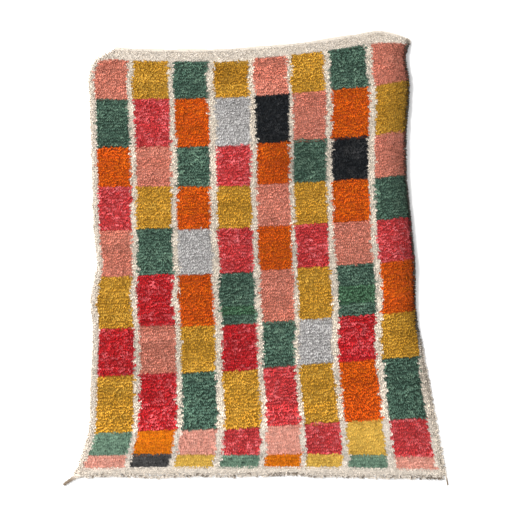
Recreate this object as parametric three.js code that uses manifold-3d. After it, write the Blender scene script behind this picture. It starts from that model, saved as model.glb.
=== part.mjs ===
// A hand-knotted berber rug with a deep wool pile, laid out on a floor.
// X runs across the rug, Y up its length and Z up from the floor, in millimetres.
import * as THREE from 'three';
import { mergeVertices } from 'three/addons/utils/BufferGeometryUtils.js';
import Module from 'manifold-3d';

const wasm = await Module();
wasm.setup();

// Driving dimensions of the cloth.
const RUG_LENGTH = 2188;
const PILE_THICKNESS = 20;
const PILE_LUMP = 5;
const RIM_THICKNESS = 13;
const HEM_WIDTH = 12;
const HEM_THICKNESS = 7;
const HEM_SHOULDER = 14;
const RIM_WIDTH = 26;
const STRIP_WIDTH = 11;
const STRIP_OUTER_SHARE = 0.8;
const GAP = 0.3;

// The weave's lines from the lower edge to the hem. along is measured up the left edge, midRise and
// rightRise say how much higher the line is at the middle and at the right edge, and left and right
// are the two edges as seen from above.
const WEAVE_LINES = [
  { along: 0, midRise: 3, rightRise: -8, left: -893, right: 931 },
  { along: 44, midRise: 10, rightRise: -5, left: -876, right: 926 },
  { along: 104, midRise: 10, rightRise: -5, left: -855, right: 918 },
  { along: 212, midRise: 34, rightRise: 82, left: -825, right: 887 },
  { along: 484, midRise: 44, rightRise: 108, left: -817, right: 838 },
  { along: 721, midRise: 32, rightRise: 90, left: -814, right: 802 },
  { along: 860, midRise: 33, rightRise: 91, left: -827, right: 799 },
  { along: 972, midRise: 34, rightRise: 92, left: -811, right: 801 },
  { along: 1040, midRise: 31, rightRise: 85, left: -801, right: 796 },
  { along: 1210, midRise: 23, rightRise: 67, left: -820, right: 785 },
  { along: 1442, midRise: 12, rightRise: 60, left: -833, right: 769 },
  { along: 1645, midRise: 22, rightRise: 82, left: -843, right: 773 },
  { along: 1899, midRise: 16, rightRise: 92, left: -857, right: 793 },
  { along: 2046, midRise: 9, rightRise: 106, left: -862, right: 777 },
  { along: 2113, midRise: 4, rightRise: 120, left: -833, right: 796 },
  { along: RUG_LENGTH, midRise: 4, rightRise: 128, left: -736, right: 803 },
];
const UPPER_CORNER = { drop: 94, across: 190, along: 160, bend: 1.5 };

// The right edge rolls over and stands on the floor, from the hem's corner down to the lower blocks.
const ROLL = {
  angle: THREE.MathUtils.degToRad(80), radius: 20, flap: 22, ramp: 170,
  startsAt: 346, fullAt: 816, easesAt: 2056, shareAtHem: 0.25,
};

// Soft swells in the cloth. across and along place the middle, turn is the crest's angle to X in
// degrees, and length and width are the half sizes. The cloth lies flat where a swell fades out.
const SWELLS = [
  { across: -640, along: 936, turn: 4, length: 420, width: 70, height: 9 },
  { across: 262, along: 1688, turn: 52, length: 190, width: 62, height: 11 },
  { across: -22, along: 576, turn: 84, length: 340, width: 52, height: 9 },
  { across: 640, along: 1846, turn: 60, length: 170, width: 60, height: 8 },
  { across: 560, along: 436, turn: 12, length: 330, width: 80, height: 8 },
  { across: -330, along: 1406, turn: -8, length: 360, width: 90, height: 7 },
];
const SWELL_FADE = 1;

// Divisions of the cloth, and the stretch at the rolled edge that has the finer ones.
const FLAT_DIVISIONS = 22;
const ROLL_DIVISIONS = 12;
const ROLL_STRETCH = 230;
const ROLL_CROWDING = 1.5;
const LENGTH_DIVISIONS = 41;

// Pile locks over the two sides and knotted warp ends along the lower edge.
const SIDE_LOCKS = { pitch: 28, rootWidth: 22, tipWidth: 9, lean: -9, rootHeight: 9, tipHeight: 5, slack: 8 };
const WARP_ENDS = { pitch: 17, rootWidth: 9, tipWidth: 6, lean: 2, rootHeight: 8, tipHeight: 6, slack: 9 };
const LOCK_ROOT_DEPTH = 6;
const LOCK_ROOT_LIFT = 1.2;
const LOCK_JITTER = 5;

// The twisted tail at the lower left corner and the loose thread at the lower right one.
const TAIL = { across: 30, length: 78, width: 24, tipWidth: 12, bearing: 213, twists: 0.5, divisions: 5 };
const THREAD = { across: 18, length: 44, width: 9, tipWidth: 6, bearing: 282, twists: 0.25, divisions: 2 };

const CREAM = new THREE.MeshStandardMaterial({ color: 0xe2d6c2, roughness: 0.95, metalness: 0 });
const PILE = new THREE.MeshStandardMaterial({ color: 0xc08a5c, roughness: 0.95, metalness: 0 });

THREE.MathUtils.seededRandom(11);
const random = () => THREE.MathUtils.seededRandom();
const jitter = (size) => (random() - 0.5) * 2 * size;
const { lerp, smoothstep } = THREE.MathUtils;

const lineShape = new THREE.CubicInterpolant(
  WEAVE_LINES.map((line) => line.along),
  WEAVE_LINES.flatMap((line) => [line.midRise, line.rightRise, line.left, line.right]),
  4,
  new Float64Array(4),
);

// Everything that changes with the place along the rug: its edges, its rise and its rolled edge.
function sectionAt(along) {
  const inside = THREE.MathUtils.clamp(along, 0, RUG_LENGTH);
  const [midRise, rightRise, left, right] = lineShape.evaluate(inside);
  const easing = lerp(1, ROLL.shareAtHem, smoothstep(inside, ROLL.easesAt, RUG_LENGTH));
  const angle = ROLL.angle * smoothstep(inside, ROLL.startsAt, ROLL.fullAt) * easing;
  const turned = ROLL.flap + ROLL.radius * angle;
  const reach = ROLL.flap * Math.cos(angle) + (ROLL.radius + PILE_THICKNESS) * Math.sin(angle);
  const crest = ROLL.radius * (1 - Math.cos(angle)) + ROLL.flap * Math.sin(angle);
  const width = right - left - reach + turned;
  return { midRise, rightRise, left, right, angle, turned, reach, crest, width };
}

// The underside's place across the section, and the slope of the cloth there, for a point that lies
// fromEdge in from the right edge along the cloth.
function profileAt(section, fromEdge) {
  const { angle, turned, reach, crest } = section;
  const edge = section.right - PILE_THICKNESS * Math.sin(angle);
  if (fromEdge <= ROLL.flap) {
    return { x: edge - fromEdge * Math.cos(angle), z: fromEdge * Math.sin(angle), slope: angle };
  }
  if (fromEdge <= turned) {
    const slope = angle - (fromEdge - ROLL.flap) / ROLL.radius;
    const x = edge - ROLL.flap * Math.cos(angle) - ROLL.radius * (Math.sin(angle) - Math.sin(slope));
    const z = ROLL.flap * Math.sin(angle) + ROLL.radius * (Math.cos(slope) - Math.cos(angle));
    return { x, z, slope };
  }
  const back = fromEdge - turned;
  const step = Math.min(back / ROLL.ramp, 1);
  const steepness = 6 * step * (1 - step) * crest / ROLL.ramp;
  const z = crest * (1 - step * step * (3 - 2 * step));
  return { x: section.right - reach - back, z, slope: -Math.atan(steepness) };
}

function swellAt(x, along) {
  let height = 0;
  for (const swell of SWELLS) {
    const turn = THREE.MathUtils.degToRad(swell.turn);
    const offX = x - swell.across;
    const offY = along - swell.along;
    const onCrest = (offX * Math.cos(turn) + offY * Math.sin(turn)) / swell.length;
    const offCrest = (offY * Math.cos(turn) - offX * Math.sin(turn)) / swell.width;
    height += swell.height * Math.exp(-onCrest * onCrest - offCrest * offCrest);
  }
  return Math.max(0, height - SWELL_FADE);
}

// The point of the laid rug that lies across and along the cloth, at a height over its underside.
function place(across, along, height) {
  const section = sectionAt(along);
  const fromEdge = section.width - across;
  const { x, z, slope } = profileAt(section, fromEdge);
  const share = across / section.width;
  const rise = section.midRise * 4 * share * (1 - share) + section.rightRise * share * (2 * share - 1);
  const cornerAcross = Math.max(0, 1 - fromEdge / UPPER_CORNER.across);
  const cornerAlong = Math.max(0, 1 - (RUG_LENGTH - along) / UPPER_CORNER.along);
  const drop = UPPER_CORNER.drop * cornerAcross ** UPPER_CORNER.bend * cornerAlong;
  const lift = swellAt(x, along) * smoothstep(fromEdge, ROLL.flap, ROLL_STRETCH);
  return new THREE.Vector3(
    x + height * Math.sin(slope),
    along + rise - drop,
    z + lift + height * Math.cos(slope),
  );
}

// A box of divisions whose points, each axis from 0 to 1, are moved by a rule. Where the rule mirrors
// the box, its faces are turned round so that they still face out.
function bentBox(divisions, rule, mirrored = false) {
  const geometry = new THREE.BoxGeometry(1, 1, 1, ...divisions);
  const points = geometry.getAttribute('position');
  for (let i = 0; i < points.count; i += 1) {
    const moved = rule(points.getX(i) + 0.5, points.getY(i) + 0.5, points.getZ(i) + 0.5);
    points.setXYZ(i, moved.x, moved.y, moved.z);
  }
  if (mirrored) {
    geometry.index.array.reverse();
  }
  geometry.deleteAttribute('normal');
  geometry.deleteAttribute('uv');
  return mergeVertices(geometry, 1e-4);
}

const acrossDivisions = FLAT_DIVISIONS + ROLL_DIVISIONS;

// Division k across the cloth, evenly spaced up to the rolled edge and closer there.
function acrossStation(k, width) {
  const rollStart = width - ROLL_STRETCH;
  if (k <= FLAT_DIVISIONS) {
    return lerp(RIM_WIDTH, rollStart, k / FLAT_DIVISIONS);
  }
  const stillToGo = 1 - (k - FLAT_DIVISIONS) / ROLL_DIVISIONS;
  return width - lerp(RIM_WIDTH, ROLL_STRETCH, stillToGo ** ROLL_CROWDING);
}

// Division k along the cloth: the last two are the hem and the shoulder of the pile above it.
function alongStation(k) {
  const pileEnd = RUG_LENGTH - HEM_WIDTH - HEM_SHOULDER;
  const fromHem = [RUG_LENGTH, RUG_LENGTH - HEM_WIDTH];
  return fromHem[LENGTH_DIVISIONS - k] ?? lerp(RIM_WIDTH, pileEnd, k / (LENGTH_DIVISIONS - 2));
}

// The ground weave and its pile: flat below, lumpy on top, thin at the hem and lower at the rim.
const lumps = Array.from({ length: acrossDivisions + 1 }, () =>
  Array.from({ length: LENGTH_DIVISIONS + 1 }, () => jitter(PILE_LUMP / 2)));

const rimHeight = (k) => (k >= LENGTH_DIVISIONS - 1 ? HEM_THICKNESS : RIM_THICKNESS);

function pileHeight(i, k) {
  const inside = i > 0 && i < acrossDivisions && k > 0 && k < LENGTH_DIVISIONS - 1;
  return inside ? PILE_THICKNESS + lumps[i][k] : rimHeight(k);
}

function pileRug() {
  return bentBox([acrossDivisions, LENGTH_DIVISIONS, 1], (u, v, w) => {
    const i = Math.round(u * acrossDivisions);
    const k = Math.round(v * LENGTH_DIVISIONS);
    const along = alongStation(k);
    const across = acrossStation(i, sectionAt(along).width);
    return place(across, along, w * pileHeight(i, k));
  });
}

// The three edges that carry locks. A point is given by its distance out from the pile's edge, its
// distance along that edge and its height, and mirrored says that these three are left-handed.
const LEFT_EDGE = {
  mirrored: true,
  point: (out, side, height) => place(RIM_WIDTH - out, side, height),
};
const RIGHT_EDGE = {
  mirrored: false,
  point: (out, side, height) => place(sectionAt(side).width - RIM_WIDTH + out, side, height),
};
const LOWER_EDGE = {
  mirrored: false,
  point: (out, side, height) => place(side, RIM_WIDTH - out, height),
};

// A narrow strip along an edge, a gap away from the pile, as thick as the pile's edge and divided as it
// is. It is always a mirrored box, so that the two facing walls are split into the same triangles.
function strip(edge, stations, heightOf) {
  const divisions = stations.length - 1;
  return bentBox([1, divisions, 1], (u, v, w) => {
    const k = Math.round((edge.mirrored ? v : 1 - v) * divisions);
    const height = heightOf(k) * lerp(1, STRIP_OUTER_SHARE, u);
    return edge.point(lerp(GAP, STRIP_WIDTH, u), stations[k], w * height);
  }, true);
}

// One lock: wide at its root in the strip, narrow at its tip on the floor.
function lock(edge, side, sizes) {
  const reach = RIM_WIDTH - random() * sizes.slack;
  const lean = sizes.lean + jitter(LOCK_JITTER);
  return bentBox([1, 1, 1], (u, v, w) => {
    const width = lerp(sizes.rootWidth, sizes.tipWidth, u);
    const out = lerp(STRIP_WIDTH - LOCK_ROOT_DEPTH, reach, u);
    const top = lerp(sizes.rootHeight, sizes.tipHeight, u);
    const bottom = lerp(LOCK_ROOT_LIFT, 0, u);
    return edge.point(out, side + (v - 0.5) * width + u * lean, lerp(bottom, top, w));
  }, edge.mirrored);
}

// A twisted corner end that lies on the floor, from inside the lower strip outwards.
function cornerEnd(across, sizes) {
  const root = LOWER_EDGE.point(STRIP_WIDTH, across, 0);
  const bearing = THREE.MathUtils.degToRad(sizes.bearing);
  const outward = new THREE.Vector3(Math.cos(bearing), Math.sin(bearing), 0);
  const sideways = new THREE.Vector3(-Math.sin(bearing), Math.cos(bearing), 0);
  return bentBox([sizes.divisions, 1, 1], (u, v, w) => {
    const width = lerp(sizes.width, sizes.tipWidth, u);
    const twist = u * sizes.twists * Math.PI;
    const side = ((v - 0.5) * Math.cos(twist) - (w - 0.5) * Math.sin(twist)) * width;
    const above = ((v - 0.5) * Math.sin(twist) + (w - 0.5) * Math.cos(twist)) * width;
    const middle = (Math.abs(Math.sin(twist)) + Math.abs(Math.cos(twist))) * width / 2;
    const point = root.clone().addScaledVector(outward, u * sizes.length);
    point.addScaledVector(sideways, side);
    point.z = middle + above + LOCK_ROOT_LIFT * (1 - u);
    return point;
  });
}

function solidOf(geometry) {
  return new wasm.Manifold(new wasm.Mesh({
    numProp: 3,
    vertProperties: new Float32Array(geometry.getAttribute('position').array),
    triVerts: new Uint32Array(geometry.index.array),
  }));
}

// Fuses a strip and its locks into one closed body.
function fused(pieces) {
  const mesh = pieces.map(solidOf).reduce((whole, piece) => whole.add(piece)).getMesh();
  const geometry = new THREE.BufferGeometry();
  geometry.setAttribute('position', new THREE.BufferAttribute(mesh.vertProperties, mesh.numProp));
  geometry.setIndex(new THREE.BufferAttribute(mesh.triVerts, 1));
  return geometry;
}

// Locks at an even pitch between two ends of an edge, each a little off its place.
function lockRow(edge, from, to, sizes) {
  const count = Math.floor((to - from) / sizes.pitch);
  return Array.from({ length: count }, (_, n) => {
    const side = lerp(from, to, (n + 0.5) / count) + jitter(LOCK_JITTER / 2);
    return lock(edge, side, sizes);
  });
}

function sideLocks(edge) {
  const stations = Array.from({ length: LENGTH_DIVISIONS + 1 }, (_, k) => alongStation(k));
  const ends = [stations[0] + SIDE_LOCKS.rootWidth, RUG_LENGTH - HEM_WIDTH - SIDE_LOCKS.rootWidth];
  return fused([strip(edge, stations, rimHeight), ...lockRow(edge, ...ends, SIDE_LOCKS)]);
}

function lowerFringe() {
  const { width } = sectionAt(RIM_WIDTH);
  const inner = Array.from({ length: acrossDivisions + 1 }, (_, k) => acrossStation(k, width));
  const corner = RIM_WIDTH - STRIP_WIDTH;
  const stations = [corner, ...inner, width - corner];
  const ends = [corner + WARP_ENDS.pitch, width - corner - WARP_ENDS.pitch];
  return fused([
    strip(LOWER_EDGE, stations, () => RIM_THICKNESS),
    ...lockRow(LOWER_EDGE, ...ends, WARP_ENDS),
    cornerEnd(TAIL.across, TAIL),
    cornerEnd(width - THREAD.across, THREAD),
  ]);
}

function named(name, geometry, material) {
  geometry.computeVertexNormals();
  const mesh = new THREE.Mesh(geometry, material);
  mesh.name = name;
  return mesh;
}

const rug = new THREE.Group();
rug.add(named('rug_pile', pileRug(), PILE));
rug.add(named('left_side_locks', sideLocks(LEFT_EDGE), CREAM));
rug.add(named('right_side_locks', sideLocks(RIGHT_EDGE), CREAM));
rug.add(named('lower_fringe', lowerFringe(), CREAM));

// The origin is on the floor under the middle of the whole rug.
const middle = new THREE.Box3().setFromObject(rug).getCenter(new THREE.Vector3());
rug.position.set(-middle.x, -middle.y, 0);

export default rug;
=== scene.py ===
"""A hand-knotted berber rug with a deep wool pile, laid out on a floor."""
import math

import bpy
import numpy as np
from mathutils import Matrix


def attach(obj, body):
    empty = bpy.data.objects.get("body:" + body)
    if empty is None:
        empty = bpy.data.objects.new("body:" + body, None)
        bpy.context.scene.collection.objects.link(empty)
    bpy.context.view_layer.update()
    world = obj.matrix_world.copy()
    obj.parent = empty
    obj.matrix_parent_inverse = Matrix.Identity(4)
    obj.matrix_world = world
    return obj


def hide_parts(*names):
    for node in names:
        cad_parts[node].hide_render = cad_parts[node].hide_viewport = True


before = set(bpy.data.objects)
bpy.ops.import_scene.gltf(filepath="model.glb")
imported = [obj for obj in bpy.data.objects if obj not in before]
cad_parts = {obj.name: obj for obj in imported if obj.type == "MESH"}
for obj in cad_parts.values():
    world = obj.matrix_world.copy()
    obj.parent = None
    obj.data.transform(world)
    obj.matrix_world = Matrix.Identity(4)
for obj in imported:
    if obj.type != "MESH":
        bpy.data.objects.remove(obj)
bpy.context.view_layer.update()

# Ground weave
# The foundation of the rug: undyed wool warps that run its length, packed with wool wefts between the
# rows of knots. It lies on the floor, swells softly in places, and its right edge rolls over.
RUG_LENGTH = 2.188
RUG_THICKNESS = 0.020
GROUND_THICKNESS = 0.005
GROUND_INSET = 0.014
PLAN_SHIFT = (0.00005, -1.11985)
LINE_COLUMNS = ("along", "mid_rise", "right_rise", "left", "right")
WEAVE_LINES = np.array([
    (0.000, 0.003, -0.008, -0.893, 0.931),
    (0.044, 0.010, -0.005, -0.876, 0.926),
    (0.104, 0.010, -0.005, -0.855, 0.918),
    (0.212, 0.034, 0.082, -0.825, 0.887),
    (0.484, 0.044, 0.108, -0.817, 0.838),
    (0.721, 0.032, 0.090, -0.814, 0.802),
    (0.860, 0.033, 0.091, -0.827, 0.799),
    (0.972, 0.034, 0.092, -0.811, 0.801),
    (1.040, 0.031, 0.085, -0.801, 0.796),
    (1.210, 0.023, 0.067, -0.820, 0.785),
    (1.442, 0.012, 0.060, -0.833, 0.769),
    (1.645, 0.022, 0.082, -0.843, 0.773),
    (1.899, 0.016, 0.092, -0.857, 0.793),
    (2.046, 0.009, 0.106, -0.862, 0.777),
    (2.113, 0.004, 0.120, -0.833, 0.796),
    (RUG_LENGTH, 0.004, 0.128, -0.736, 0.803),
])
CORNER_DROP, CORNER_ACROSS, CORNER_ALONG, CORNER_BEND = 0.094, 0.190, 0.160, 1.5
ROLL_ANGLE = math.radians(80)
ROLL_RADIUS, ROLL_FLAP, ROLL_RAMP, ROLL_STRETCH = 0.020, 0.022, 0.170, 0.230
ROLL_STARTS, ROLL_FULL, ROLL_EASES, ROLL_AT_HEM = 0.346, 0.816, 2.056, 0.25
SWELL_COLUMNS = ("across", "along", "turn", "length", "width", "height")
SWELLS = (
    (-0.640, 0.936, 4, 0.420, 0.070, 0.009),
    (0.262, 1.688, 52, 0.190, 0.062, 0.011),
    (-0.022, 0.576, 84, 0.340, 0.052, 0.009),
    (0.640, 1.846, 60, 0.170, 0.060, 0.008),
    (0.560, 0.436, 12, 0.330, 0.080, 0.008),
    (-0.330, 1.406, -8, 0.360, 0.090, 0.007),
)
SWELL_FADE = 0.001
WAVE_PHASE, FLOATS_OVER_FIBRE = 20, 0.5
lines = dict(zip(LINE_COLUMNS, WEAVE_LINES.T))


def smooth(low, high, value):
    step = np.clip((value - low) / (high - low), 0.0, 1.0)
    return step * step * (3 - 2 * step)


def line_value(column, along):
    """A column of the weave's lines, carried smoothly between them."""
    stations, values = lines["along"], lines[column]
    secants = np.diff(values) / np.diff(stations)
    slopes = np.concatenate(([0.0], (secants[1:] + secants[:-1]) / 2, [0.0]))
    k = np.clip(np.searchsorted(stations, along, side="right") - 1, 0, len(stations) - 2)
    gap = stations[k + 1] - stations[k]
    t = (along - stations[k]) / gap
    start = (1 + 2 * t) * (1 - t) ** 2 * values[k] + t * (1 - t) ** 2 * gap * slopes[k]
    end = t * t * (3 - 2 * t) * values[k + 1] + t * t * (t - 1) * gap * slopes[k + 1]
    return start + end


def rug_section(along):
    """The rug's edges, width and rolled edge at places along its length."""
    inside = np.clip(along, 0.0, RUG_LENGTH)
    section = {column: line_value(column, inside) for column in LINE_COLUMNS[1:]}
    easing = 1 - (1 - ROLL_AT_HEM) * smooth(ROLL_EASES, RUG_LENGTH, inside)
    angle = ROLL_ANGLE * smooth(ROLL_STARTS, ROLL_FULL, inside) * easing
    section["angle"] = angle
    section["turned"] = ROLL_FLAP + ROLL_RADIUS * angle
    section["reach"] = ROLL_FLAP * np.cos(angle) + (ROLL_RADIUS + RUG_THICKNESS) * np.sin(angle)
    section["crest"] = ROLL_RADIUS * (1 - np.cos(angle)) + ROLL_FLAP * np.sin(angle)
    section["width"] = section["right"] - section["left"] - section["reach"] + section["turned"]
    return section


def rise_at(section, share):
    bow = section["mid_rise"] * 4 * share * (1 - share)
    return bow + section["right_rise"] * share * (2 * share - 1)


def named_rows(columns, table):
    """The rows of a table, each with its values by the names of their columns."""
    return [dict(zip(columns, row)) for row in table]


def swell_at(x, along):
    height = np.zeros_like(x)
    for swell in named_rows(SWELL_COLUMNS, SWELLS):
        turn = math.radians(swell["turn"])
        off_x, off_y = x - swell["across"], along - swell["along"]
        on_crest = (off_x * math.cos(turn) + off_y * math.sin(turn)) / swell["length"]
        off_crest = (off_y * math.cos(turn) - off_x * math.sin(turn)) / swell["width"]
        height += swell["height"] * np.exp(-on_crest ** 2 - off_crest ** 2)
    return np.maximum(0.0, height - SWELL_FADE)


def lay(across, along, height):
    """Points of the laid rug for places across and along the cloth, and the cloth's slope there."""
    s = rug_section(along)
    from_edge = s["width"] - across
    edge = s["right"] - RUG_THICKNESS * np.sin(s["angle"])
    flap_end = edge - ROLL_FLAP * np.cos(s["angle"])
    bend = s["angle"] - (from_edge - ROLL_FLAP) / ROLL_RADIUS
    back = from_edge - s["turned"]
    step = np.clip(back / ROLL_RAMP, 0.0, 1.0)
    on_flap, on_bend = from_edge <= ROLL_FLAP, from_edge <= s["turned"]
    slope = np.where(on_bend, bend, -np.arctan(6 * step * (1 - step) * s["crest"] / ROLL_RAMP))
    slope = np.where(on_flap, s["angle"], slope)
    x = np.where(on_bend, flap_end - ROLL_RADIUS * (np.sin(s["angle"]) - np.sin(bend)),
                 s["right"] - s["reach"] - back)
    x = np.where(on_flap, edge - from_edge * np.cos(s["angle"]), x)
    bend_z = ROLL_FLAP * np.sin(s["angle"]) + ROLL_RADIUS * (np.cos(bend) - np.cos(s["angle"]))
    z = np.where(on_bend, bend_z, s["crest"] * (1 - step * step * (3 - 2 * step)))
    z = np.where(on_flap, from_edge * np.sin(s["angle"]), z)
    corner = np.clip(1 - from_edge / CORNER_ACROSS, 0.0, None) ** CORNER_BEND
    corner = corner * np.clip(1 - (RUG_LENGTH - along) / CORNER_ALONG, 0.0, None)
    lift = swell_at(x, along) * smooth(ROLL_FLAP, ROLL_STRETCH, from_edge)
    points = np.stack([
        x + height * np.sin(slope) + PLAN_SHIFT[0],
        along + rise_at(s, across / s["width"]) - CORNER_DROP * corner + PLAN_SHIFT[1],
        z + lift + height * np.cos(slope),
    ], axis=-1)
    return points, slope


def new_piece(name, data):
    """A new object in the scene, unturned and at the origin."""
    piece = bpy.data.objects.new(name, data)
    bpy.context.collection.objects.link(piece)
    return piece


def closed_sheet(name, upper, under, weave, material):
    """A thin closed sheet between two grids of points, with the weave's own lengths as its UV map."""
    index = np.arange(upper.shape[0] * upper.shape[1]).reshape(upper.shape[:2])
    below = index + index.size
    rim = np.concatenate([index[0, :-1], index[:-1, -1], index[-1, :0:-1], index[:0:-1, 0]])
    after = np.roll(rim, -1)
    walls = np.stack([rim + index.size, after + index.size, after, rim], axis=-1)
    top = np.stack([index[:-1, :-1], index[:-1, 1:], index[1:, 1:], index[1:, :-1]], axis=-1)
    bottom = np.stack([below[:-1, :-1], below[1:, :-1], below[1:, 1:], below[:-1, 1:]], axis=-1)
    faces = np.concatenate([top.reshape(-1, 4), bottom.reshape(-1, 4), walls])
    points = np.concatenate([upper.reshape(-1, 3), under.reshape(-1, 3)])
    mesh = bpy.data.meshes.new(name)
    mesh.from_pydata(points.tolist(), [], faces.tolist())
    lengths = np.concatenate([weave.reshape(-1, 2)] * 2)
    mesh.uv_layers.new(name="weave").data.foreach_set("uv", lengths[faces.ravel()].ravel())
    mesh.materials.append(material)
    mesh.shade_smooth()
    return new_piece(name, mesh)


def fill(tree, node, inputs):
    """Sets the inputs of a node, or links them where they are given as another node's outputs."""
    for socket, value in inputs.items():
        if isinstance(value, bpy.types.NodeSocket):
            tree.links.new(value, node.inputs[socket])
        else:
            node.inputs[socket].default_value = value


def add_node(tree, kind, inputs=None, **settings):
    node = tree.nodes.new(kind)
    for setting, value in settings.items():
        setattr(node, setting, value)
    fill(tree, node, inputs or {})
    return node


def product(tree, first, second):
    return add_node(tree, "ShaderNodeMath", {0: first, 1: second}, operation="MULTIPLY").outputs[0]


def new_material(name, roughness, sheen):
    material = bpy.data.materials.new(name)
    material.use_nodes = True
    tree = material.node_tree
    shader = tree.nodes["Principled BSDF"]
    fill(tree, shader, {"Roughness": roughness, "Sheen Weight": sheen, "Specular IOR Level": 0.1})
    return material, tree, shader


def thread_waves(tree, cloth, direction, pitch, **uneven):
    """Waves whose bands lie one pitch apart, across the cloth or along it."""
    inputs = {"Vector": cloth, "Scale": 2 * math.pi / (WAVE_PHASE * pitch), **uneven}
    return add_node(tree, "ShaderNodeTexWave", inputs, bands_direction=direction).outputs["Fac"]


def ribbed_wool(name, light, dark, rib_pitch, warp_pitch, bump, dyed_by=None):
    """Weft-faced wool: ribs across the cloth, broken into short floats by the warps beneath, painted
    darker where they dip as shade, with random fibre tone mixed in.

    Where dyed_by names a colour that is kept on the mesh, the wool takes that colour.
    """
    material, tree, shader = new_material(name, roughness=0.95, sheen=0.15)
    cloth = add_node(tree, "ShaderNodeUVMap", uv_map="weave").outputs["UV"]
    ribs = thread_waves(tree, cloth, "Y", rib_pitch, Distortion=1.2, Detail=1.0)
    warps = thread_waves(tree, cloth, "X", warp_pitch)
    fibre = add_node(tree, "ShaderNodeTexNoise", {"Vector": cloth, "Scale": 420, "Detail": 3})
    weave = add_node(tree, "ShaderNodeMath",
                     {0: product(tree, ribs, warps), 1: FLOATS_OVER_FIBRE, 2: fibre.outputs["Fac"]},
                     operation="MULTIPLY_ADD").outputs[0]
    finished = add_node(tree, "ShaderNodeMix", {"Factor": weave, "A": (*dark, 1), "B": (*light, 1)},
                        data_type="RGBA").outputs["Result"]
    if dyed_by:
        dye = add_node(tree, "ShaderNodeAttribute", attribute_name=dyed_by).outputs["Color"]
        finished = add_node(tree, "ShaderNodeMix", {"Factor": 1.0, "A": finished, "B": dye},
                            data_type="RGBA", blend_type="MULTIPLY").outputs["Result"]
    relief = add_node(tree, "ShaderNodeBump", {"Distance": bump, "Height": weave})
    fill(tree, shader, {"Base Color": finished, "Normal": relief.outputs["Normal"]})
    return material


GROUND_FLAT_COLUMNS, GROUND_ROLL_COLUMNS, GROUND_ROWS, GROUND_WIDTH = 100, 28, 140, 1.62
flat_share = 1 - ROLL_STRETCH / GROUND_WIDTH
ground_share = np.concatenate([
    np.linspace(0, flat_share, GROUND_FLAT_COLUMNS, endpoint=False),
    np.linspace(flat_share, 1, GROUND_ROLL_COLUMNS + 1),
])
ground_rows = np.linspace(GROUND_INSET, RUG_LENGTH - GROUND_INSET, GROUND_ROWS + 1)
along_grid = np.repeat(ground_rows[:, None], len(ground_share), axis=1)
widths = rug_section(along_grid)["width"]
across_grid = GROUND_INSET + ground_share * (widths - 2 * GROUND_INSET)
ground_top, _ = lay(across_grid, along_grid, np.full_like(across_grid, GROUND_THICKNESS))
ground_back, _ = lay(across_grid, along_grid, np.zeros_like(across_grid))
ground_wool = ribbed_wool("ground wool", light=(1.0, 1.0, 1.0), dark=(0.55, 0.55, 0.55),
                          rib_pitch=0.0105, warp_pitch=0.0085, bump=0.002, dyed_by="knots")
ground = closed_sheet("ground_weave", ground_top, ground_back,
                      np.stack([across_grid, along_grid], axis=-1), ground_wool)
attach(ground, "root")
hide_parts("rug_pile")

# Knotted pile
# Rows of wool knots tied round the warps, each cut to a thick tuft of yarn ends that leans down the rug.
# Dyed yarns make eight columns of blocks, and cream yarn the stripes between them and the border.
KNOT_PITCH, ROW_PITCH, FINE_STEPS = 0.0125, 0.0148, 800
RUG_WIDTH = 1.66
PILE_INSET, HEM_WIDTH = 0.022, 0.012
KNOT_LEVEL, KNOT_JITTER = 0.6 * GROUND_THICKNESS, 0.17
TUFT_WIDTH, TUFT_HEIGHT = 0.0140, 0.0190
WIDTH_SPREAD, HEIGHT_SPREAD = (0.85, 1.18), (0.78, 1.15)
END_SIDES = 3
END_COLUMNS = ("root_across", "root_along", "tip_across", "tip_along", "length", "tone")
TUFT_ENDS = (
    (-0.40, 0.06, -0.62, 0.10, 0.92, 0.60),
    (-0.13, -0.10, -0.18, -0.16, 1.00, 1.30),
    (0.14, 0.10, 0.24, 0.18, 0.86, 0.80),
    (0.41, -0.05, 0.60, -0.06, 0.96, 1.26),
)
END_RINGS = ((0.0, 0.20), (0.5, 0.25))
END_TIP = (1.0, 0.0)
LAYOUT_WIDTH, LAYOUT_ROOT, LAYOUT_FOOT, LAYOUT_BEND, LAYOUT_TIP = 0.9, 0.1, 0.14, 0.62, 0.98
CELL_WIDTH, CELL_MARGIN = 0.92, 0.04
PILE_LEAN, PILE_LEAN_SPREAD, PILE_SIDE_SPREAD, PILE_SPIN = 0.72, 0.28, 0.38, 0.55
TUFT_LEAN_SPREAD, TUFT_SIDE_SPREAD = 0.24, 0.28
PILE_RUFFLE, PILE_RUFFLE_SCALE = 0.008, 90.0
FLOOR_CLEARANCE = 0.0005
YARN_SEED, TONE_SEED, PLACE_SEED, PALE_SEED = 5, 6, 7, 8
NOISE_CELLS, NOISE_START = 97, 7.0
TONE_LUMPS, PALE_LUMPS, LEAN_LUMPS, SIDE_LEAN_LUMPS = (0.16, 21), (0.030, 22), (0.045, 31), (0.040, 32)
COLUMN_COLUMNS = ("left", "right", "raised", "yarns")
BLOCK_COLUMNS = (
    (0.0205, 0.124, 0.004, "pink green orange red pink mustard crimson mustard green pink"),
    (0.141, 0.248, 0.007, "mustard red pink mustard green crimson pink crimson orange charcoal"),
    (0.265, 0.366, 0.000, "green orange green orange grey orange mustard green pink mustard"),
    (0.387, 0.491, -0.002, "mustard grey red mustard red green crimson mustard red green"),
    (0.508, 0.609, 0.003, "pink charcoal orange pink orange pink green red pink orange"),
    (0.622, 0.721, 0.005, "mustard pink green mustard red mustard grey mustard red mustard"),
    (0.739, 0.850, 0.004, "green orange charcoal orange pink green crimson orange mustard green"),
    (0.871, 0.972, 0.000, "pink mustard pink green red orange mustard green red pink"),
)
LAST_COLUMN_OVER_ROLL = 0.040
RAGGED_EDGE, MOST_KNOT_ROWS = 0.0026, 400
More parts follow.
